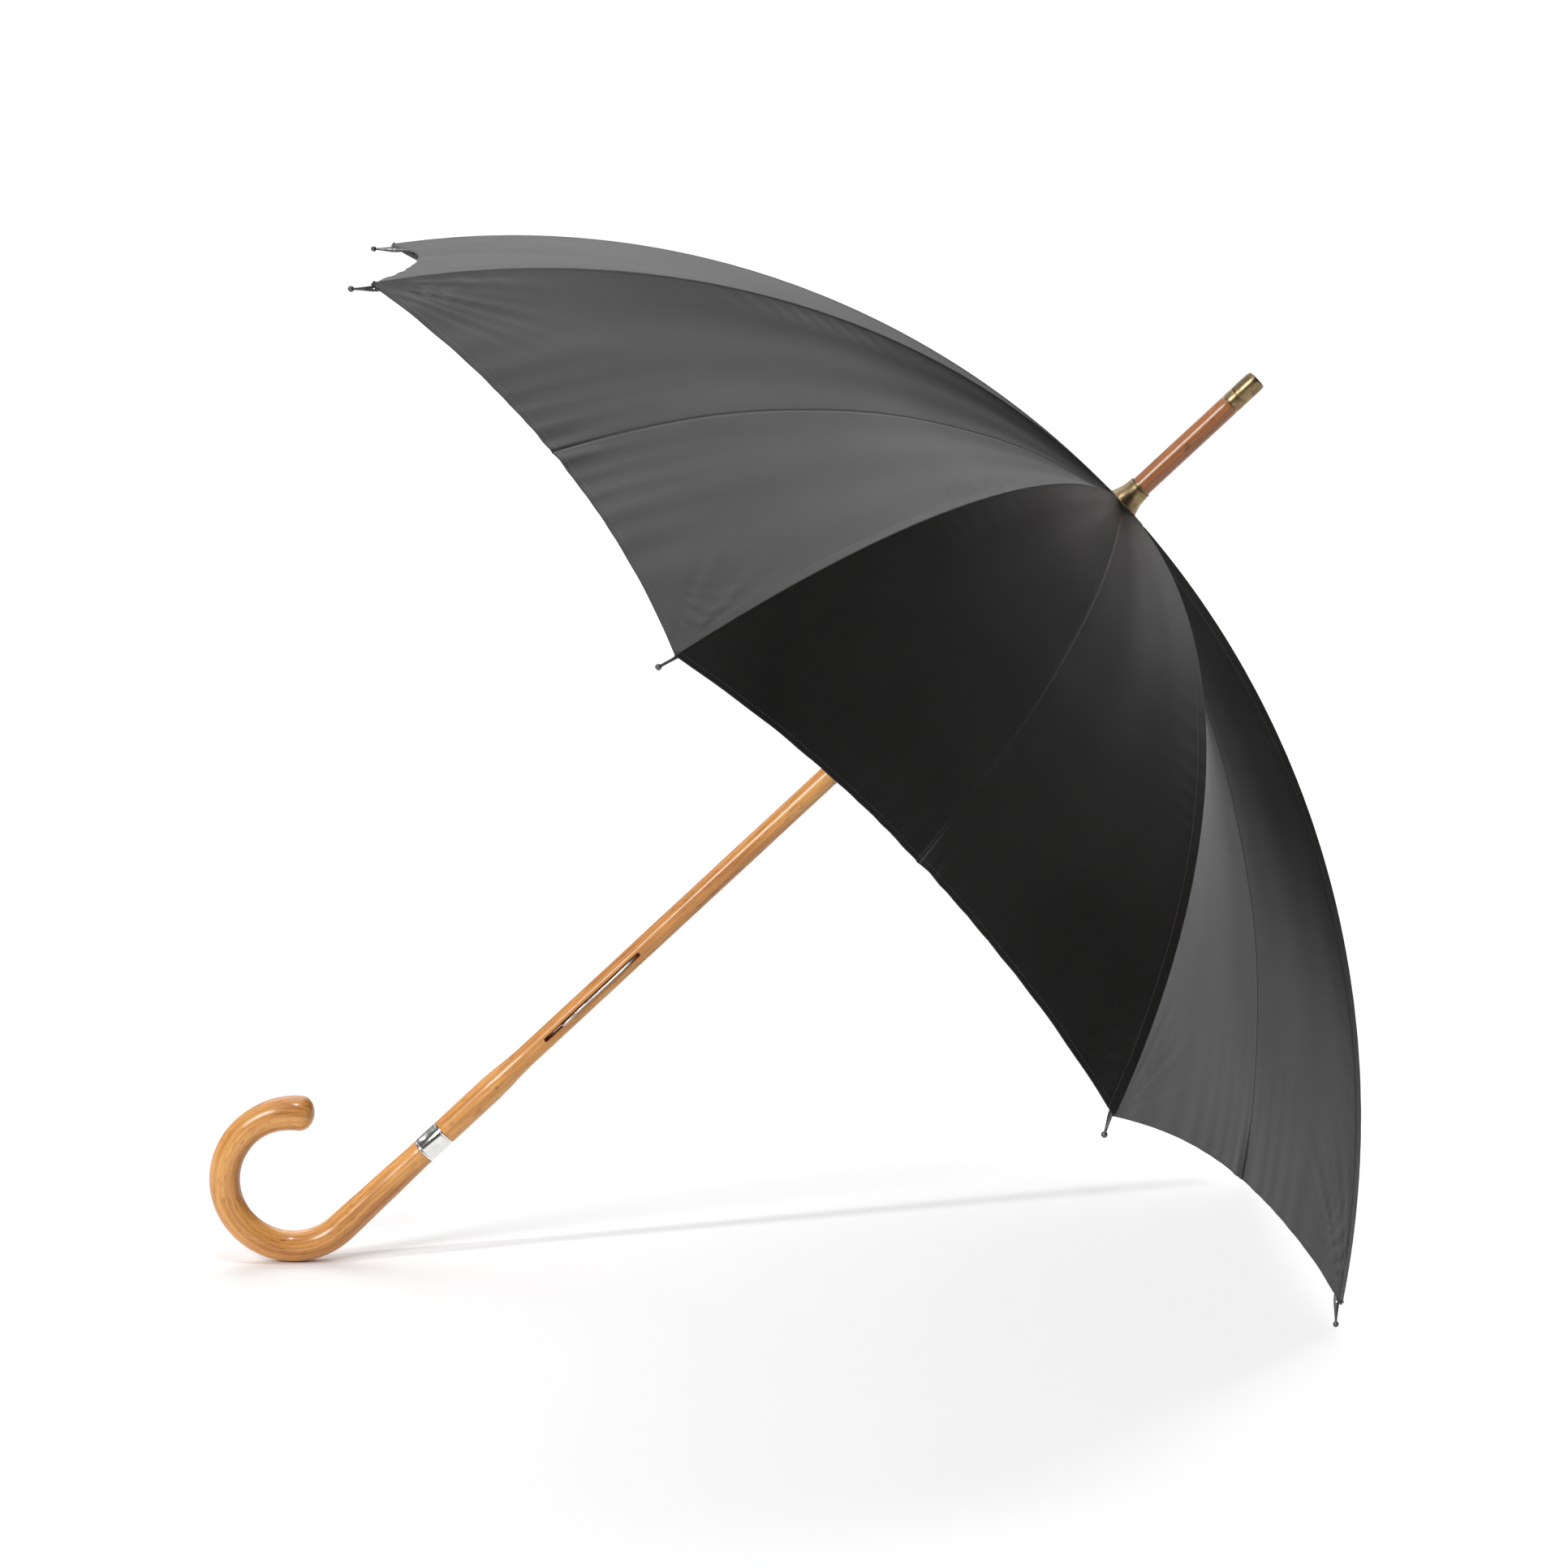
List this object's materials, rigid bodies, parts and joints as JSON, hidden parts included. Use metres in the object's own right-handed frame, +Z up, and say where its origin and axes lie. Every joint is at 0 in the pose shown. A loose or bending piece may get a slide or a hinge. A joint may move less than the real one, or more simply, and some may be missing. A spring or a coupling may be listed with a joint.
{
  "type": "stick umbrella",
  "caption": "Open stick umbrella with a one-piece curved wooden handle and shaft, folding steel ribs and stretchers, a sprung runner and a scalloped black cloth canopy.",
  "frame": {"origin": "on the floor under the middle of the umbrella as it stands open on its crook and two rib tips", "axes": "+Z up; the shaft lies in the XZ plane and rises towards +X, with the crook at the -X end; +Y across the canopy"},
  "size_m": [0.7661, 0.9316, 0.6909],
  "materials": {
    "varnished_wood": "varnished golden brown, fine dark flecks along the grain",
    "black_cloth": "black satin weave with a soft sheen",
    "dark_steel": "dark burnished steel",
    "nickel": "nickel plate",
    "silver_collar": "polished silver",
    "aged_brass": "dark aged brass"
  },
  "bodies": {
    "stick_body": {"stick": "varnished_wood", "handle_collar": "silver_collar", "ferrule": "aged_brass", "open_cap": "aged_brass", "crown_cloth": "black_cloth", "crown": "nickel", "crown_wire": "dark_steel", "crown_pin": "dark_steel", "stop_pin": "dark_steel"},
    "rib_1": {"rib_1_inner": "dark_steel", "canopy_1_inner": "black_cloth"},
    "rib_1_end": {"rib_1_outer": "dark_steel", "canopy_1_outer": "black_cloth"},
    "strut_1": {"stretcher_1": "dark_steel"},
    "rib_2": {"rib_2_inner": "dark_steel", "canopy_2_inner": "black_cloth"},
    "rib_2_end": {"rib_2_outer": "dark_steel", "canopy_2_outer": "black_cloth"},
    "strut_2": {"stretcher_2": "dark_steel"},
    "rib_3": {"rib_3_inner": "dark_steel", "canopy_3_inner": "black_cloth"},
    "rib_3_end": {"rib_3_outer": "dark_steel", "canopy_3_outer": "black_cloth"},
    "strut_3": {"stretcher_3": "dark_steel"},
    "rib_4": {"rib_4_inner": "dark_steel", "canopy_4_inner": "black_cloth"},
    "rib_4_end": {"rib_4_outer": "dark_steel", "canopy_4_outer": "black_cloth"},
    "strut_4": {"stretcher_4": "dark_steel"},
    "rib_5": {"rib_5_inner": "dark_steel", "canopy_5_inner": "black_cloth"},
    "rib_5_end": {"rib_5_outer": "dark_steel", "canopy_5_outer": "black_cloth"},
    "strut_5": {"stretcher_5": "dark_steel"},
    "rib_6": {"rib_6_inner": "dark_steel", "canopy_6_inner": "black_cloth"},
    "rib_6_end": {"rib_6_outer": "dark_steel", "canopy_6_outer": "black_cloth"},
    "strut_6": {"stretcher_6": "dark_steel"},
    "rib_7": {"rib_7_inner": "dark_steel", "canopy_7_inner": "black_cloth"},
    "rib_7_end": {"rib_7_outer": "dark_steel", "canopy_7_outer": "black_cloth", "tie_band": "black_cloth", "tie_stud": "nickel"},
    "strut_7": {"stretcher_7": "dark_steel"},
    "rib_8": {"rib_8_inner": "dark_steel", "canopy_8_inner": "black_cloth"},
    "rib_8_end": {"rib_8_outer": "dark_steel", "canopy_8_outer": "black_cloth"},
    "strut_8": {"stretcher_8": "dark_steel"},
    "runner_body": {"runner": "nickel", "runner_wire": "dark_steel"},
    "hand_spring_body": {"hand_spring": "nickel"},
    "top_spring_body": {"top_spring": "nickel"}
  },
  "joints": [
    {"name": "canopy_fold", "type": "hinge", "parent": "stick_body", "child": "rib_1", "pos_m": [0.22883, 0.00421, 0.52423], "axis": [-0.2609, -0.9239, 0.2799], "range_deg": [0, 74.5], "deforming": ["canopy_1_inner", "canopy_1_outer", "canopy_2_inner", "canopy_2_outer", "canopy_3_inner", "canopy_3_outer", "canopy_4_inner", "canopy_4_outer", "canopy_5_inner", "canopy_5_outer", "canopy_6_inner", "canopy_6_outer", "canopy_7_inner", "canopy_7_outer", "canopy_8_inner", "canopy_8_outer", "hand_spring", "top_spring"]},
    {"name": "rib_1_flex", "type": "hinge", "parent": "rib_1", "child": "rib_1_end", "pos_m": [0.04175, 0.09578, 0.65207], "axis": [0.2609, 0.9239, -0.2799], "range_deg": [0, 22.4]},
    {"name": "stretcher_1_pivot", "type": "hinge", "parent": "rib_1", "child": "strut_1", "pos_m": [0.0423, 0.09363, 0.6455], "axis": [0.2609, 0.9239, -0.2799], "range_deg": [0, 149]},
    {"name": "rib_2_fold", "type": "hinge", "parent": "stick_body", "child": "rib_2", "pos_m": [0.22883, -0.00421, 0.52423], "axis": [0.2609, -0.9239, -0.2799], "range_deg": [0, 74.5]},
    {"name": "rib_2_flex", "type": "hinge", "parent": "rib_2", "child": "rib_2_end", "pos_m": [0.04175, -0.09578, 0.65207], "axis": [-0.2609, 0.9239, 0.2799], "range_deg": [0, 22.4]},
    {"name": "stretcher_2_pivot", "type": "hinge", "parent": "rib_2", "child": "strut_2", "pos_m": [0.0423, -0.09363, 0.6455], "axis": [-0.2609, 0.9239, 0.2799], "range_deg": [0, 149]},
    {"name": "rib_3_fold", "type": "hinge", "parent": "stick_body", "child": "rib_3", "pos_m": [0.23289, -0.01016, 0.51987], "axis": [0.6299, -0.3827, -0.6758], "range_deg": [0, 74.5]},
    {"name": "rib_3_flex", "type": "hinge", "parent": "rib_3", "child": "rib_3_end", "pos_m": [0.1341, -0.23123, 0.55298], "axis": [-0.6299, 0.3827, 0.6758], "range_deg": [0, 22.4]},
    {"name": "stretcher_3_pivot", "type": "hinge", "parent": "rib_3", "child": "strut_3", "pos_m": [0.13259, -0.22605, 0.54863], "axis": [-0.6299, 0.3827, 0.6758], "range_deg": [0, 149]},
    {"name": "rib_4_fold", "type": "hinge", "parent": "stick_body", "child": "rib_4", "pos_m": [0.23863, -0.01016, 0.51371], "axis": [0.6299, 0.3827, -0.6758], "range_deg": [0, 74.5]},
    {"name": "rib_4_flex", "type": "hinge", "parent": "rib_4", "child": "rib_4_end", "pos_m": [0.26472, -0.23123, 0.41285], "axis": [-0.6299, -0.3827, 0.6758], "range_deg": [0, 22.4]},
    {"name": "stretcher_4_pivot", "type": "hinge", "parent": "rib_4", "child": "strut_4", "pos_m": [0.26027, -0.22605, 0.41165], "axis": [-0.6299, -0.3827, 0.6758], "range_deg": [0, 149]},
    {"name": "rib_5_fold", "type": "hinge", "parent": "stick_body", "child": "rib_5", "pos_m": [0.24269, -0.00421, 0.50936], "axis": [0.2609, 0.9239, -0.2799], "range_deg": [0, 74.5]},
    {"name": "rib_5_flex", "type": "hinge", "parent": "rib_5", "child": "rib_5_end", "pos_m": [0.35707, -0.09578, 0.31376], "axis": [-0.2609, -0.9239, 0.2799], "range_deg": [0, 22.4]},
    {"name": "stretcher_5_pivot", "type": "hinge", "parent": "rib_5", "child": "strut_5", "pos_m": [0.35056, -0.09363, 0.31478], "axis": [-0.2609, -0.9239, 0.2799], "range_deg": [0, 149]},
    {"name": "rib_6_fold", "type": "hinge", "parent": "stick_body", "child": "rib_6", "pos_m": [0.24269, 0.00421, 0.50936], "axis": [-0.2609, 0.9239, 0.2799], "range_deg": [0, 74.5]},
    {"name": "rib_6_flex", "type": "hinge", "parent": "rib_6", "child": "rib_6_end", "pos_m": [0.35707, 0.09578, 0.31376], "axis": [0.2609, -0.9239, -0.2799], "range_deg": [0, 22.4]},
    {"name": "stretcher_6_pivot", "type": "hinge", "parent": "rib_6", "child": "strut_6", "pos_m": [0.35056, 0.09363, 0.31478], "axis": [0.2609, -0.9239, -0.2799], "range_deg": [0, 149]},
    {"name": "rib_7_fold", "type": "hinge", "parent": "stick_body", "child": "rib_7", "pos_m": [0.23863, 0.01016, 0.51371], "axis": [-0.6299, 0.3827, 0.6758], "range_deg": [0, 74.5]},
    {"name": "rib_7_flex", "type": "hinge", "parent": "rib_7", "child": "rib_7_end", "pos_m": [0.26472, 0.23123, 0.41285], "axis": [0.6299, -0.3827, -0.6758], "range_deg": [0, 22.4]},
    {"name": "stretcher_7_pivot", "type": "hinge", "parent": "rib_7", "child": "strut_7", "pos_m": [0.26027, 0.22605, 0.41165], "axis": [0.6299, -0.3827, -0.6758], "range_deg": [0, 149]},
    {"name": "rib_8_fold", "type": "hinge", "parent": "stick_body", "child": "rib_8", "pos_m": [0.23289, 0.01016, 0.51987], "axis": [-0.6299, -0.3827, 0.6758], "range_deg": [0, 74.5]},
    {"name": "rib_8_flex", "type": "hinge", "parent": "rib_8", "child": "rib_8_end", "pos_m": [0.1341, 0.23123, 0.55298], "axis": [0.6299, 0.3827, -0.6758], "range_deg": [0, 22.4]},
    {"name": "stretcher_8_pivot", "type": "hinge", "parent": "rib_8", "child": "strut_8", "pos_m": [0.13259, 0.22605, 0.54863], "axis": [0.6299, 0.3827, -0.6758], "range_deg": [0, 149]},
    {"name": "runner_travel", "type": "hinge", "parent": "strut_1", "child": "runner_body", "pos_m": [0.15018, 0.00421, 0.45092], "axis": [-0.2609, -0.9239, 0.2799], "range_deg": [0, 74.5]},
    {"name": "hand_spring_press", "type": "hinge", "parent": "stick_body", "child": "hand_spring_body", "pos_m": [-0.08962, -0.003, 0.21352], "axis": [0.6818, 0, -0.7315], "range_deg": [0, 3], "stiffness_Nm_per_rad": 0.6},
    {"name": "top_spring_press", "type": "hinge", "parent": "stick_body", "child": "top_spring_body", "pos_m": [0.07957, 0.003, 0.37121], "axis": [0.6818, 0, -0.7315], "range_deg": [0, 3.4], "stiffness_Nm_per_rad": 0.6}
  ],
  "couplings": [
    {"joint": "rib_1_flex", "follows": "canopy_fold", "ratio": 0.3},
    {"joint": "stretcher_1_pivot", "follows": "canopy_fold", "ratio": 2},
    {"joint": "rib_2_fold", "follows": "canopy_fold", "ratio": 1},
    {"joint": "rib_2_flex", "follows": "canopy_fold", "ratio": 0.3},
    {"joint": "stretcher_2_pivot", "follows": "canopy_fold", "ratio": 2},
    {"joint": "rib_3_fold", "follows": "canopy_fold", "ratio": 1},
    {"joint": "rib_3_flex", "follows": "canopy_fold", "ratio": 0.3},
    {"joint": "stretcher_3_pivot", "follows": "canopy_fold", "ratio": 2},
    {"joint": "rib_4_fold", "follows": "canopy_fold", "ratio": 1},
    {"joint": "rib_4_flex", "follows": "canopy_fold", "ratio": 0.3},
    {"joint": "stretcher_4_pivot", "follows": "canopy_fold", "ratio": 2},
    {"joint": "rib_5_fold", "follows": "canopy_fold", "ratio": 1},
    {"joint": "rib_5_flex", "follows": "canopy_fold", "ratio": 0.3},
    {"joint": "stretcher_5_pivot", "follows": "canopy_fold", "ratio": 2},
    {"joint": "rib_6_fold", "follows": "canopy_fold", "ratio": 1},
    {"joint": "rib_6_flex", "follows": "canopy_fold", "ratio": 0.3},
    {"joint": "stretcher_6_pivot", "follows": "canopy_fold", "ratio": 2},
    {"joint": "rib_7_fold", "follows": "canopy_fold", "ratio": 1},
    {"joint": "rib_7_flex", "follows": "canopy_fold", "ratio": 0.3},
    {"joint": "stretcher_7_pivot", "follows": "canopy_fold", "ratio": 2},
    {"joint": "rib_8_fold", "follows": "canopy_fold", "ratio": 1},
    {"joint": "rib_8_flex", "follows": "canopy_fold", "ratio": 0.3},
    {"joint": "stretcher_8_pivot", "follows": "canopy_fold", "ratio": 2},
    {"joint": "runner_travel", "follows": "canopy_fold", "ratio": 1}
  ]
}
